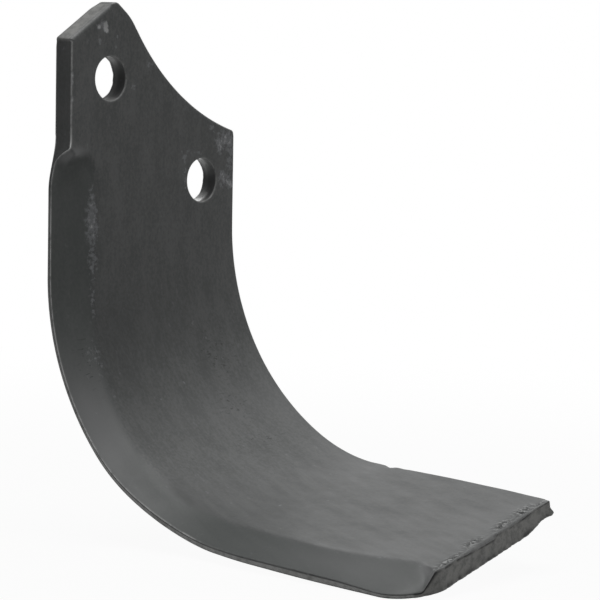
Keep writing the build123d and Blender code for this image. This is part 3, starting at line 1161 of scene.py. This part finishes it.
    def masks(self, skin: Skin) -> dict[Mask, np.ndarray]:
        """Works out the masks that the relief and the finish read.

        Args:
            skin: The finished skin.

        Returns:
            One value for each point, by mask.
        """
        s = self.sizes
        places, depth, rim, shear, soot, wall = skin.columns()
        x, z = places.T
        is_front = (depth < s.thickness - self.front_margin) & (wall < 0.5)
        from_tip, from_end, past_line = s.from_tip(x, z), self.before_end(x, z), x - self.line_x(z)
        by_tip = self.crust_reach.at(np.maximum(from_tip, 0.0)) * self.crust_start.at(from_tip)
        crust = marks(self.crust_spots, x, from_tip) * by_tip * is_front
        shade = marks(self.shade_spots, x, z) * self.shade_start.at(past_line)
        # Painted light on the bevel's facet and at the bevel's end.
        burnish = self.bevel_painted_light_across.at(past_line) * self.bevel_painted_light_along.at(z)
        by_end = self.end_painted_light_start.at(from_end) * self.end_painted_light_along.at(z)
        burnish = burnish + self.end_painted_light.at(from_end) * by_end
        return {
            Mask.FACET: self.facet_start.at(self.bevel_depth(x, z)) * is_front,
            Mask.RIM: rim,
            Mask.WEAR: marks(self.wear_spots, x, z) * is_front,
            Mask.PITTING: np.clip(marks(self.pit_spots, x, z), 0.0, 1.0) * is_front,
            Mask.SHEAR: shear,
            Mask.CRUST: np.clip(crust, 0.0, 1.0),
            Mask.BURNISH: (self.bevel_painted_light * burnish + marks(self.painted_light_spots, x, z)) * is_front,
            # Painted shade from the walls, and from the shade spots on the front face.
            Mask.SOOT: soot + shade * is_front,
        }

    def mesh(self) -> bpy.types.Mesh:
        """Builds the flat blank.

        Returns:
            A closed mesh in metres, with the masks as point attributes.
        """
        s, skin = self.sizes, Skin()
        finish = EdgeFinish(s.hole_diameter)
        loops = zip((self.outline(), *self.holes()), self.hole_painted_highlights)
        front_rims, back_rims = zip(*(self.lay_edge(skin, loop, finish, painted_highlights) for loop, painted_highlights in loops))
        self.lay_face(skin, front_rims, is_back=False)
        self.lay_face(skin, back_rims, is_back=True)
        places, depth = skin.columns()[:2]
        flat = np.stack([places[:, 0], depth - s.thickness, places[:, 1]], 1) * MM
        mesh = bpy.data.meshes.new("tiller_blade")
        mesh.from_pydata(flat.tolist(), [], skin.faces)
        mesh.shade_smooth()
        for mask, values in self.masks(skin).items():
            attribute = mesh.attributes.new(mask.value, "FLOAT", "POINT")
            attribute.data.foreach_set("value", values.astype(np.float32))
        mesh.update()
        return mesh


@dataclass(frozen=True)
class Term:
    """A node's output that takes part in plain sums, each of which adds a Math node."""

    sheet: "NodeSheet"
    socket: bpy.types.NodeSocket

    def __add__(self, other: Any) -> "Term":
        """Returns the sum."""
        return self.sheet.math("ADD", self, other)

    def __sub__(self, other: Any) -> "Term":
        """Returns the difference."""
        return self.sheet.math("SUBTRACT", self, other)

    def __mul__(self, other: Any) -> "Term":
        """Returns the product."""
        return self.sheet.math("MULTIPLY", self, other)

    def __truediv__(self, other: Any) -> "Term":
        """Returns the quotient."""
        return self.sheet.math("DIVIDE", self, other)

    def larger(self, other: Any) -> "Term":
        """Returns the larger of two values."""
        return self.sheet.math("MAXIMUM", self, other)

    def smaller(self, other: Any) -> "Term":
        """Returns the smaller of two values."""
        return self.sheet.math("MINIMUM", self, other)


@dataclass(frozen=True)
class Pattern:
    """Noise over the blank.

    Attributes:
        waves: Waves to the millimetre across the bar, through it and along it.
        detail: Octaves of detail.
        roughness: How strong each finer octave is.
        seed: The seed, where the tree has no seed of its own.
        span: The range of the noise that shows, and the range that it is mapped onto where that isn't 0 to 1.
    """

    waves: Triple
    detail: float
    roughness: float = 0.5
    seed: float = 0.0
    span: Span = ()


@dataclass
class NodeSheet:
    """A node tree that is filled in by code."""

    tree: bpy.types.NodeTree

    def add(self, kind: str, settings: dict[str, Any] | None = None, inputs: dict[Any, Any] | None = None
            ) -> bpy.types.Node:
        """Adds a node.

        Args:
            kind: The node's type.
            settings: Values of the node's own properties.
            inputs: Values, or terms to link from, by input name or number.

        Returns:
            The node.
        """
        node = self.tree.nodes.new(kind)
        for name, value in (settings or {}).items():
            setattr(node, name, value)
        for key, value in (inputs or {}).items():
            if isinstance(value, Term):
                self.tree.links.new(value.socket, node.inputs[key])
            else:
                node.inputs[key].default_value = value
        return node

    def term(self, kind: str, settings: dict[str, Any] | None = None, inputs: dict[Any, Any] | None = None,
             output: Any = 0) -> Term:
        """Adds a node and returns one of its outputs, by name or number."""
        return Term(self, self.add(kind, settings, inputs).outputs[output])

    def terms(self, kind: str, inputs: dict[Any, Any] | None = None) -> dict[str, Term]:
        """Adds a node and returns its outputs by name."""
        return {socket.name: Term(self, socket) for socket in self.add(kind, inputs=inputs).outputs}

    def math(self, operation: str, *values: Any, clamp: bool = False) -> Term:
        """Adds a Math node and returns its result."""
        return self.term("ShaderNodeMath", {"operation": operation, "use_clamp": clamp}, dict(enumerate(values)))

    def vector(self, operation: str, *values: Any) -> Term:
        """Adds a Vector Math node and returns its vector."""
        return self.term("ShaderNodeVectorMath", {"operation": operation}, dict(enumerate(values)))

    def ramp(self, value: Term, low: float, high: float, to_low: float = 0.0, to_high: float = 1.0) -> Term:
        """Maps a range of values onto another, smoothly and held at both ends."""
        inputs = {"Value": value, "From Min": low, "From Max": high, "To Min": to_low, "To Max": to_high}
        return self.term("ShaderNodeMapRange", {"interpolation_type": "SMOOTHSTEP"}, inputs)

    def pattern(self, pattern: Pattern, place: Term, seed: Term | None = None) -> Term:
        """Adds noise over the blank.

        Args:
            pattern: The pattern.
            place: The place on the blank, in millimetres.
            seed: The tree's own seed.

        Returns:
            The noise, about 0.5 on average, or what its span is mapped onto.
        """
        inputs = {
            "Vector": self.vector("MULTIPLY", place, pattern.waves),
            "W": pattern.seed if seed is None else seed,
            "Scale": 1.0,
            "Detail": pattern.detail,
            "Roughness": pattern.roughness,
        }
        value = self.term("ShaderNodeTexNoise", {"noise_dimensions": "4D"}, inputs)
        return self.ramp(value, *pattern.span) if pattern.span else value


@dataclass
class Forging:
    """The Geometry Nodes tree that roughens the blank and bends it."""

    sizes: BladeSizes
    waviness: float = 0.13
    rolling_marks: float = 0.02
    crust_height: float = 0.6
    shear_depth: float = 0.26
    pit_depth: float = 0.10
    seed: float = FORGE_SEED
    broad: Pattern = Pattern((0.07, 0.07, 0.03), 2.0)
    rolling: Pattern = Pattern((0.8, 0.8, 0.02), 2.0)
    pits: Pattern = Pattern((0.55, 0.55, 0.8), 1.0, span=(0.36, 0.28))
    crust: Pattern = Pattern(CRUST_WAVES, 1.0, span=(0.38, 0.62, -0.6, 1.0))
    tears: Pattern = Pattern((0.9, 0.9, 0.9), 3.0, 0.65)
    uncut_level: float = 0.75
    untorn_level: float = 0.85
    sockets: dict[str, str] = field(default_factory=dict)

    def inputs(self) -> dict[str, float]:
        """Gathers the tree's inputs.

        Returns:
            Lengths in metres, relief in millimetres and angles in radians, by input.
        """
        s = self.sizes
        return {
            "Inner edge": s.inner_x * MM,
            "Bend drop": s.bend_drop * MM,
            "Bend line angle": math.radians(s.bend_line_angle),
            "Bend radius": s.bend_radius * MM,
            "Bend angle": math.radians(s.bend_angle),
            "Thickness": s.thickness * MM,
            "Waviness": self.waviness,
            "Rolling marks": self.rolling_marks,
            "Crust height": self.crust_height,
            "Shear depth": self.shear_depth,
            "Pit depth": self.pit_depth,
            "Seed": self.seed,
        }

    def tree(self) -> bpy.types.NodeTree:
        """Builds the tree.

        Returns:
            The node group, with each input's identifier noted in sockets.
        """
        tree = bpy.data.node_groups.new("forge_and_bend", "GeometryNodeTree")
        interface = tree.interface
        interface.new_socket("Geometry", in_out="INPUT", socket_type="NodeSocketGeometry")
        for name in self.inputs():
            self.sockets[name] = interface.new_socket(name, in_out="INPUT", socket_type="NodeSocketFloat").identifier
        material = interface.new_socket("Material", in_out="INPUT", socket_type="NodeSocketMaterial")
        self.sockets["Material"] = material.identifier
        interface.new_socket("Geometry", in_out="OUTPUT", socket_type="NodeSocketGeometry")
        sheet = NodeSheet(tree)
        given = sheet.terms("NodeGroupInput")
        place = sheet.term("GeometryNodeInputPosition")
        stored = sheet.term(
            "GeometryNodeStoreNamedAttribute",
            {"data_type": "FLOAT_VECTOR", "domain": "POINT"},
            {"Geometry": given["Geometry"], "Name": BLANK_PLACE,
             "Value": sheet.vector("MULTIPLY", place, (1.0 / MM,) * 3)},
        )
        normal = sheet.term("GeometryNodeInputNormal")
        scaled = {0: normal, "Scale": self.relief(sheet, given)}
        offset = sheet.term("ShaderNodeVectorMath", {"operation": "SCALE"}, scaled)
        forged = sheet.term("GeometryNodeSetPosition", inputs={"Geometry": stored, "Offset": offset})
        bent_place = self.bent_place(sheet, given)
        bent = sheet.term("GeometryNodeSetPosition", inputs={"Geometry": forged, "Position": bent_place})
        whole = sheet.term("GeometryNodeRealizeInstances", inputs={"Geometry": bent})
        dressed = sheet.term("GeometryNodeSetMaterial", inputs={"Geometry": whole, "Material": given["Material"]})
        sheet.add("NodeGroupOutput", inputs={"Geometry": dressed})
        return tree

    def relief(self, sheet: NodeSheet, given: dict[str, Term]) -> Term:
        """Adds the nodes that give the relief along the normal.

        Args:
            sheet: The tree that is being built.
            given: The group's inputs.

        Returns:
            The relief in metres, which only cuts into the metal apart from the crust.
        """
        def attribute(name: str, kind: str = "FLOAT") -> Term:
            """Returns an attribute of the mesh."""
            return sheet.term("GeometryNodeInputNamedAttribute", {"data_type": kind}, {"Name": name})

        at = attribute(BLANK_PLACE, "FLOAT_VECTOR")
        broad, rolling, pits, crust, tears = (
            sheet.pattern(pattern, at, given["Seed"])
            for pattern in (self.broad, self.rolling, self.pits, self.crust, self.tears)
        )
        relief = (broad - self.uncut_level) * given["Waviness"]
        relief = relief + (rolling - self.uncut_level) * given["Rolling marks"]
        relief = relief + pits * attribute(Mask.PITTING.value) * (given["Pit depth"] * -1.0)
        relief = relief + crust * attribute(Mask.CRUST.value) * given["Crust height"]
        relief = relief + (tears - self.untorn_level) * attribute(Mask.SHEAR.value) * given["Shear depth"]
        return relief * MM

    def bent_place(self, sheet: NodeSheet, given: dict[str, Term]) -> Term:
        """Adds the nodes that wrap the flat blank around the bend.

        Args:
            sheet: The tree that is being built.
            given: The group's inputs.

        Returns:
            Each point's place on the bent blade.
        """
        place = sheet.term("GeometryNodeInputPosition")
        x, y, z = sheet.terms("ShaderNodeSeparateXYZ", {0: place}).values()
        radius, angle, thickness = given["Bend radius"], given["Bend angle"], given["Thickness"]
        rise, across = (sheet.math(operation, given["Bend line angle"]) for operation in ("SINE", "COSINE"))
        run = (x - given["Inner edge"]) * rise - (z + given["Bend drop"]) * across
        turned = (run / radius).larger(0.0).smaller(angle)
        arm = radius + (y + thickness)
        beyond = (run - radius * angle).larger(0.0)
        along = run.smaller(0.0) + arm * sheet.math("SINE", turned) + beyond * sheet.math("COSINE", angle)
        swung = arm * sheet.math("COSINE", turned) - beyond * sheet.math("SINE", angle)
        shift = along - run
        bent = {0: x + shift * rise, 1: swung - (radius + thickness), 2: z - shift * across}
        return sheet.term("ShaderNodeCombineXYZ", inputs=bent)


@dataclass(frozen=True)
class ForgedSteel:
    """The dark, heat-treated skin of forged steel, with its wear, its sheared ends, and painted light and shade."""

    dark: Colour = (0.066, 0.069, 0.068, 1.0)
    light: Colour = (0.104, 0.107, 0.106, 1.0)
    facet: Colour = (0.082, 0.089, 0.086, 1.0)
    # The lighter colour that painted light lifts the skin towards.
    painted_light_tone: Colour = (0.175, 0.178, 0.179, 1.0)
    # The colour that painted shade darkens towards.
    painted_shading: Colour = (0.042, 0.043, 0.043, 1.0)
    worn: Colour = (0.25, 0.256, 0.268, 1.0)
    # The colour of rubbed bare metal on the edges and of painted highlights.
    rubbed_and_lit: Colour = (0.58, 0.585, 0.58, 1.0)
    sheared: Colour = (0.25, 0.25, 0.24, 1.0)
    # The colour of pits and of painted shade in the crust's hollows.
    pit_and_shade: Colour = (0.022, 0.022, 0.022, 1.0)
    specular: float = 0.22
    # The tone of the skin.
    mottle: Pattern = Pattern((0.13, 0.13, 0.07), 6.0, 0.65, 3.0)
    streaks: Pattern = Pattern((0.5, 0.5, 0.08), 4.0, 0.6, 4.0)
    grain: Pattern = Pattern((1.2, 1.2, 0.9), 3.0, 0.6, 5.0)
    tone_shares: Triple = (0.34, 0.22, 0.44)
    tone_span: Span = (0.40, 0.60)
    calmer_along: Span = (-110.0, -150.0, 1.0, 0.45)
    rubs: Pattern = Pattern((0.3, 0.3, 0.025), 3.0, 0.6, 11.0, (0.35, 0.65))
    rubs_from: float = -130.0
    rubs_drift: float = -0.29
    rubs_along: Span = (-100.0, -140.0, 0.0, 0.4)
    # What lies over it.
    facet_share: float = 0.6
    painted_light_share: float = 0.6
    blotches: Pattern = Pattern((0.3, 0.4, 0.3), 6.0, 0.72, 9.0, (0.36, 0.60, 0.4, 1.15))
    flecks: Pattern = Pattern((0.8, 0.8, 0.65), 3.0, 0.65, 6.0, (0.36, 0.66))
    strewn: Pattern = Pattern((0.4, 0.4, 0.22), 3.0, 0.7, 10.0, (0.60, 0.76, 0.0, 0.4))
    worn_span: Span = (1.05, 1.85, 0.0, 0.6)
    bright_span: Span = (1.9, 2.5, 0.0, 0.6)
    chips: Pattern = Pattern((0.3, 0.3, 0.3), 3.0, 0.7, 8.0, (0.34, 0.60, 0.35, 1.0))
    crumbs: Pattern = Pattern(CRUST_WAVES, 1.0, seed=FORGE_SEED)
    # The crust's crumbs are painted lighter where its relief stands high, a painted highlight, and darker where it
    # sinks, painted shade.
    lit_crumbs: Span = (0.53, 0.64, 0.0, 0.42)
    shaded_crumbs: Span = (0.50, 0.42)
    dashes: Pattern = Pattern((0.45, 0.45, 1.2), 1.0, seed=7.0, span=(0.40, 0.32))
    dark_share: float = 0.8
    # Roughness and bumps.
    roughness_span: Span = (0.3, 0.7, 0.50, 0.42)
    shine: float = 0.08
    shear_roughness: float = 0.2
    shade_roughness: Span = (0.2, 1.0, 0.0, 0.3)
    bare_span: Span = (1.05, 1.6)
    bare_shine: float = 0.25
    bump_shares: Triple = (0.6, 0.4, 0.8)
    bump_strength: float = 0.1
    bump_height: float = 0.05

    def material(self) -> bpy.types.Material:
        """Builds the material.

        Returns:
            A material that reads the blade's own place and mask attributes.
        """
        material = bpy.data.materials.new("forged_steel")
        material.use_nodes = True
        material.node_tree.nodes.clear()
        sheet = NodeSheet(material.node_tree)

        def attribute(name: str, output: str = "Fac") -> Term:
            """Reads an attribute of the mesh."""
            settings = {"attribute_type": "GEOMETRY", "attribute_name": name}
            return sheet.term("ShaderNodeAttribute", settings, output=output)

        def mix(share: Term, one: Any, two: Any) -> Term:
            """Mixes two colours."""
            return sheet.term("ShaderNodeMix", {"data_type": "RGBA"}, {0: share, 6: one, 7: two}, 2)

        at = attribute(BLANK_PLACE, "Vector")
        facet, rim, wear, pitting, shear, crust, burnish, soot = (attribute(mask.value) for mask in Mask)
        mottle, streaks, grain, flecks, strewn, blotches, crumbs, chips, dashes = (
            sheet.pattern(pattern, at)
            for pattern in (self.mottle, self.streaks, self.grain, self.flecks, self.strewn, self.blotches,
                            self.crumbs, self.chips, self.dashes)
        )
        tone = self.tone(sheet, at, (mottle, streaks, grain))
        colour = mix(tone, self.dark, self.light)
        colour = mix(facet * self.facet_share, colour, self.facet)
        # Painted light lifts the skin towards a lighter tone.
        colour = mix(burnish * self.painted_light_share, colour, self.painted_light_tone)
        # Torn colour, which on the land and on a hole's top and bottom is partly painted light.
        colour = mix(shear * blotches, colour, self.sheared)
        # Painted shade darkens walls, hole sides, the line under the front edge and the shade spots.
        colour = mix(soot, colour, self.painted_shading)
        scuffed = wear + flecks
        worn = sheet.ramp(scuffed, *self.worn_span).larger(strewn * flecks)
        colour = mix(worn, colour, self.worn)
        # Rubbed edges, bright scuffs, and painted highlights on walls and on the crust's bumps.
        rubbed_and_lit = (rim * chips).larger(crust * sheet.ramp(crumbs, *self.lit_crumbs))
        rubbed_and_lit = rubbed_and_lit.larger(sheet.ramp(scuffed, *self.bright_span))
        colour = mix(rubbed_and_lit, colour, self.rubbed_and_lit)
        # Dark pits, and painted shade in the crust's hollows.
        dark = (dashes * pitting).larger(crust * sheet.ramp(crumbs, *self.shaded_crumbs))
        colour = mix(dark * self.dark_share, colour, self.pit_and_shade)
        rough = sheet.ramp(mottle, *self.roughness_span) - worn.larger(rubbed_and_lit).larger(burnish) * self.shine
        rough = rough + shear * self.shear_roughness
        rough = sheet.math("ADD", rough, sheet.ramp(soot, *self.shade_roughness), clamp=True)
        bare = sheet.ramp(rim, *self.bare_span)
        rough = rough - bare * self.bare_shine
        grain_share, streak_share, dark_share = self.bump_shares
        height = grain * grain_share + streaks * streak_share - dark * dark_share
        bump = {"Strength": self.bump_strength, "Distance": self.bump_height * MM, "Height": height}
        shader = sheet.term(
            "ShaderNodeBsdfPrincipled",
            inputs={"Base Color": colour, "Roughness": rough, "Specular IOR Level": self.specular,
                    "Metallic": bare, "Normal": sheet.term("ShaderNodeBump", inputs=bump)},
        )
        sheet.add("ShaderNodeOutputMaterial", inputs={"Surface": shader})
        return material

    def tone(self, sheet: NodeSheet, at: Term, patterns: tuple[Term, Term, Term]) -> Term:
        """Adds the nodes that give the skin's tone.

        Args:
            sheet: The material's tree.
            at: The place on the blank.
            patterns: The mottle, the streaks and the grain.

        Returns:
            The tone, 0 where the skin is dark and 1 where it is light.
        """
        mottle, streaks, grain = (pattern * share for pattern, share in zip(patterns, self.tone_shares))
        along = sheet.term("ShaderNodeSeparateXYZ", inputs={0: at}, output="Z")
        tone = sheet.ramp(mottle + streaks + grain, *self.tone_span) - 0.5
        tone = tone * sheet.ramp(along, *self.calmer_along) + 0.5
        drift = (along - self.rubs_from).smaller(0.0) * self.rubs_drift
        drifted = sheet.vector("ADD", at, sheet.term("ShaderNodeCombineXYZ", inputs={0: drift}))
        return tone + (sheet.pattern(self.rubs, drifted) - 0.5) * sheet.ramp(along, *self.rubs_along)


@dataclass
class TillerBlade:
    """The whole blade: its blank, its forging and its finish."""

    sizes: BladeSizes = field(default_factory=BladeSizes)
    finish: ForgedSteel = field(default_factory=ForgedSteel)

    def build(self) -> bpy.types.Object:
        """Builds the blade as a plain mesh at the origin.

        Returns:
            The finished object.
        """
        blank = bpy.data.objects.new("flat_blank", BladeBlank(self.sizes).mesh())
        bpy.context.scene.collection.objects.link(blank)
        forging = Forging(self.sizes)
        modifier = blank.modifiers.new("forge_and_bend", "NODES")
        modifier.node_group = forging.tree()
        for name, value in forging.inputs().items():
            modifier[forging.sockets[name]] = value
        modifier[forging.sockets["Material"]] = self.finish.material()
        view = bpy.context.evaluated_depsgraph_get()
        mesh = bpy.data.meshes.new_from_object(blank.evaluated_get(view))
        bpy.data.objects.remove(blank)
        mesh.name = "forged_blade"
        blade = bpy.data.objects.new("forged_blade", mesh)
        bpy.context.scene.collection.objects.link(blade)
        triangles = sum(len(face.vertices) - 2 for face in mesh.polygons)
        LOG.info("forged_blade: %d points, %d triangles", len(mesh.vertices), triangles)
        return blade


@dataclass
class Studio:
    """The pale floor, the soft light and the camera, in metres and degrees."""

    floor_z: float
    floor_radius: float = 40.0
    floor_sides: int = 96
    floor_colour: Colour = (0.45, 0.45, 0.45, 1.0)
    white_span: Span = (0.15, 0.6, 0.95, 1.0)
    world_strength: float = 0.12
    softbox_place: Triple = (0.1, -0.05, 1.5)
    softbox_aim: Triple = (0.0, -0.05, -0.06)
    softbox_size: float = 1.2
    softbox_watts: float = 24.0
    camera_azimuth: float = -49.902
    camera_elevation: float = 4.831
    camera_roll: float = 0.876
    camera_distance: float = 1.2
    camera_target: Triple = (0.035927, -0.040, -0.056473)
    camera_lens: float = 214.77
    camera_sensor: float = 36.0
    camera_reach: Point = (0.05, 50.0)

    def camera(self) -> None:
        """Places the camera at the viewing angle of the photograph."""
        angles = (self.camera_azimuth, self.camera_elevation, self.camera_roll)
        azimuth, elevation, roll = (math.radians(angle) for angle in angles)
        level = math.cos(elevation)
        back = Vector((math.sin(azimuth) * level, -math.cos(azimuth) * level, math.sin(elevation)))
        right = back.cross(Vector((0.0, 0.0, -1.0))).normalized()
        up = back.cross(right)
        turned_right = right * math.cos(roll) + up * math.sin(roll)
        turned_up = up * math.cos(roll) - right * math.sin(roll)
        data = bpy.data.cameras.new("camera")
        data.lens, data.sensor_width = self.camera_lens, self.camera_sensor
        data.clip_start, data.clip_end = self.camera_reach
        camera = bpy.data.objects.new("camera", data)
        camera.matrix_world = Matrix((turned_right, turned_up, back)).transposed().to_4x4()
        camera.location = Vector(self.camera_target) + back * self.camera_distance
        bpy.context.scene.collection.objects.link(camera)
        bpy.context.scene.camera = camera

    def seen_directly(self, sheet: NodeSheet) -> Term:
        """Returns 1 for rays that show a surface to the camera, straight, mirrored or through glass."""
        rays = sheet.terms("ShaderNodeLightPath")
        return rays["Is Camera Ray"].larger(rays["Is Glossy Ray"].larger(rays["Is Transmission Ray"]))

    def floor(self) -> bpy.types.Object:
        """Builds the floor, which turns to plain white away from the blade.

        Returns:
            The floor object.
        """
        turns = [2.0 * math.pi * side / self.floor_sides for side in range(self.floor_sides)]
        radius = self.floor_radius
        ring = [(radius * math.cos(turn), radius * math.sin(turn), self.floor_z) for turn in turns]
        mesh = bpy.data.meshes.new("studio_floor")
        mesh.from_pydata(ring, [], [list(range(self.floor_sides))])
        material = bpy.data.materials.new("pale_floor")
        material.use_nodes = True
        material.node_tree.nodes.clear()
        sheet = NodeSheet(material.node_tree)
        place = sheet.term("ShaderNodeTexCoord", output="Object")
        away = sheet.term("ShaderNodeVectorMath", {"operation": "LENGTH"}, {0: place}, "Value")
        plain = self.seen_directly(sheet) * sheet.ramp(away, *self.white_span)
        matt = sheet.term("ShaderNodeBsdfDiffuse", inputs={"Color": self.floor_colour})
        white = sheet.term("ShaderNodeEmission", inputs={"Color": WHITE, "Strength": 1.0})
        surface = sheet.term("ShaderNodeMixShader", inputs={0: plain, 1: matt, 2: white})
        sheet.add("ShaderNodeOutputMaterial", inputs={"Surface": surface})
        mesh.materials.append(material)
        floor = bpy.data.objects.new("studio_floor", mesh)
        bpy.context.scene.collection.objects.link(floor)
        return floor

    def lights(self) -> None:
        """Sets the even world light and hangs the softbox."""
        world = bpy.data.worlds.new("studio_world")
        bpy.context.scene.world = world
        world.use_nodes = True
        world.node_tree.nodes.clear()
        sheet = NodeSheet(world.node_tree)
        even, white = (
            sheet.term("ShaderNodeBackground", inputs={"Color": WHITE, "Strength": strength})
            for strength in (self.world_strength, 1.0)
        )
        light = sheet.term("ShaderNodeMixShader", inputs={0: self.seen_directly(sheet), 1: even, 2: white})
        sheet.add("ShaderNodeOutputWorld", inputs={"Surface": light})
        data = bpy.data.lights.new("top_softbox", "AREA")
        data.shape, data.size, data.energy = "SQUARE", self.softbox_size, self.softbox_watts
        softbox = bpy.data.objects.new("top_softbox", data)
        softbox.location = self.softbox_place
        facing = Vector(self.softbox_aim) - Vector(self.softbox_place)
        softbox.rotation_euler = facing.to_track_quat("-Z", "Y").to_euler()
        bpy.context.scene.collection.objects.link(softbox)

    def build(self) -> bpy.types.Object:
        """Builds the camera, the lights and the floor.

        Returns:
            The floor object.
        """
        self.camera()
        self.lights()
        return self.floor()


def main() -> None:
    """Builds the blade and its studio."""
    logging.basicConfig(level=logging.INFO, format="%(name)s: %(message)s")
    cad_low, cad_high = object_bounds()
    scene = bpy.context.scene
    scene.view_settings.view_transform = "Standard"
    blade = TillerBlade().build()
    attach(blade, "root")
    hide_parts("tiller_blade")
    floor = Studio(floor_z=cad_low[2] - FLOOR_GAP).build()
    LOG.info("%s: stage", floor.name)


if __name__ == "__main__":
    main()
